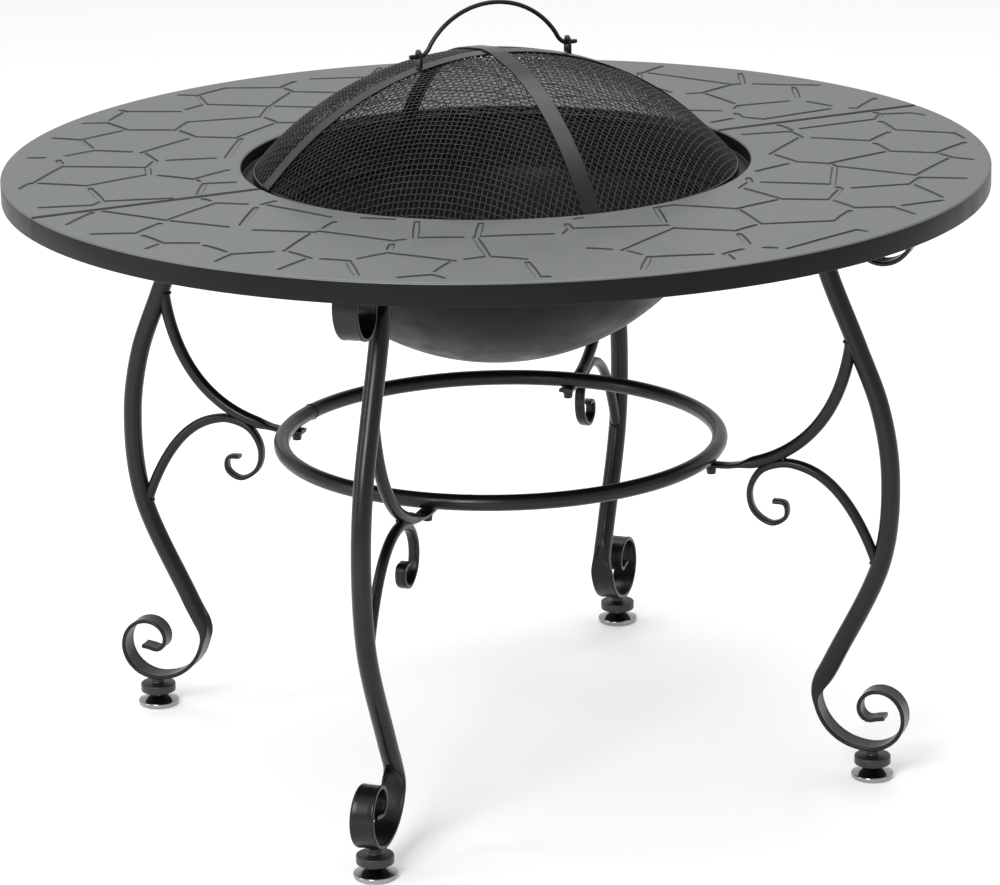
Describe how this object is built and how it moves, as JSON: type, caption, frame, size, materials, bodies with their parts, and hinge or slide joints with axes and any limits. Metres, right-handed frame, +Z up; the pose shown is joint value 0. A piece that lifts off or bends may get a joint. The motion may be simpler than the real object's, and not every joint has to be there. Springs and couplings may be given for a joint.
{
  "type": "fire pit table",
  "caption": "Round garden fire pit table with a lift-out fire bowl, a domed mesh spark screen with a bail handle, a split pressed-steel top, scrolled tube legs and levelling feet.",
  "frame": {"origin": "middle of the floor under the table, level with the underside of the four feet", "axes": "+Z up through the middle of the bowl; X along the seam between the two halves of the tabletop; the legs stand at 45 degrees to X and Y"},
  "size_m": [1.1, 1.1, 0.8695],
  "materials": {
    "textured_top": "satin grey heat-resistant paint on embossed sheet steel",
    "frame_black": "satin black powder coat",
    "bowl_black": "matt black high-temperature paint",
    "wire_mesh": "black painted woven wire",
    "grate_black": "matt black paint",
    "foot_plastic": "black moulded plastic",
    "chrome_feet": "bright chrome plate",
    "zinc_bolts": "zinc plated"
  },
  "bodies": {
    "frame": {"table_half_front": "textured_top", "table_half_rear": "textured_top", "seam_bolt_left": "zinc_bolts", "seam_nut_left": "zinc_bolts", "seam_bolt_right": "zinc_bolts", "seam_nut_right": "zinc_bolts", "leg_front_left": "frame_black", "brace_front_left": "frame_black", "ornament_front_left": "frame_black", "mount_plate_front_left": "frame_black", "leg_bolt_front_left": "zinc_bolts", "ring_bolt_front_left": "frame_black", "ring_washer_front_left": "frame_black", "foot_collar_front_left": "foot_plastic", "leg_front_right": "frame_black", "brace_front_right": "frame_black", "ornament_front_right": "frame_black", "mount_plate_front_right": "frame_black", "leg_bolt_front_right": "zinc_bolts", "ring_bolt_front_right": "frame_black", "ring_washer_front_right": "frame_black", "foot_collar_front_right": "foot_plastic", "leg_rear_right": "frame_black", "brace_rear_right": "frame_black", "ornament_rear_right": "frame_black", "mount_plate_rear_right": "frame_black", "leg_bolt_rear_right": "zinc_bolts", "ring_bolt_rear_right": "frame_black", "ring_washer_rear_right": "frame_black", "foot_collar_rear_right": "foot_plastic", "leg_rear_left": "frame_black", "brace_rear_left": "frame_black", "ornament_rear_left": "frame_black", "mount_plate_rear_left": "frame_black", "leg_bolt_rear_left": "zinc_bolts", "ring_bolt_rear_left": "frame_black", "ring_washer_rear_left": "frame_black", "foot_collar_rear_left": "foot_plastic", "lower_ring": "frame_black"},
    "bowl": {"fire_bowl": "bowl_black"},
    "grate": {"fuel_grate": "grate_black"},
    "screen": {"screen_mesh": "wire_mesh", "screen_rim": "frame_black", "screen_band_under": "frame_black", "screen_band_over": "frame_black", "bail_lug_left": "frame_black", "bail_lug_right": "frame_black"},
    "bail": {"bail_handle": "frame_black"},
    "glide_front_left": {"foot_glide_front_left": "chrome_feet"},
    "glide_front_right": {"foot_glide_front_right": "chrome_feet"},
    "glide_rear_right": {"foot_glide_rear_right": "chrome_feet"},
    "glide_rear_left": {"foot_glide_rear_left": "chrome_feet"}
  },
  "joints": [
    {"name": "bowl_lift", "type": "slide", "parent": "frame", "child": "bowl", "axis": [0, 0, 1], "range_m": [0, 0.25]},
    {"name": "grate_lift", "type": "slide", "parent": "bowl", "child": "grate", "axis": [0, 0, 1], "range_m": [0, 0.2]},
    {"name": "screen_lift", "type": "slide", "parent": "bowl", "child": "screen", "axis": [0, 0, 1], "range_m": [0, 0.25]},
    {"name": "bail_swing", "type": "hinge", "parent": "screen", "child": "bail", "pos_m": [0, 0, 0.81432], "axis": [0.9976, -0.0698, 0], "range_deg": [-75, 75]},
    {"name": "glide_front_left_screw", "type": "slide", "parent": "frame", "child": "glide_front_left", "axis": [0, 0, 1], "range_m": [-0.006, 0.004]},
    {"name": "glide_front_right_screw", "type": "slide", "parent": "frame", "child": "glide_front_right", "axis": [0, 0, 1], "range_m": [-0.006, 0.004]},
    {"name": "glide_rear_right_screw", "type": "slide", "parent": "frame", "child": "glide_rear_right", "axis": [0, 0, 1], "range_m": [-0.006, 0.004]},
    {"name": "glide_rear_left_screw", "type": "slide", "parent": "frame", "child": "glide_rear_left", "axis": [0, 0, 1], "range_m": [-0.006, 0.004]}
  ]
}
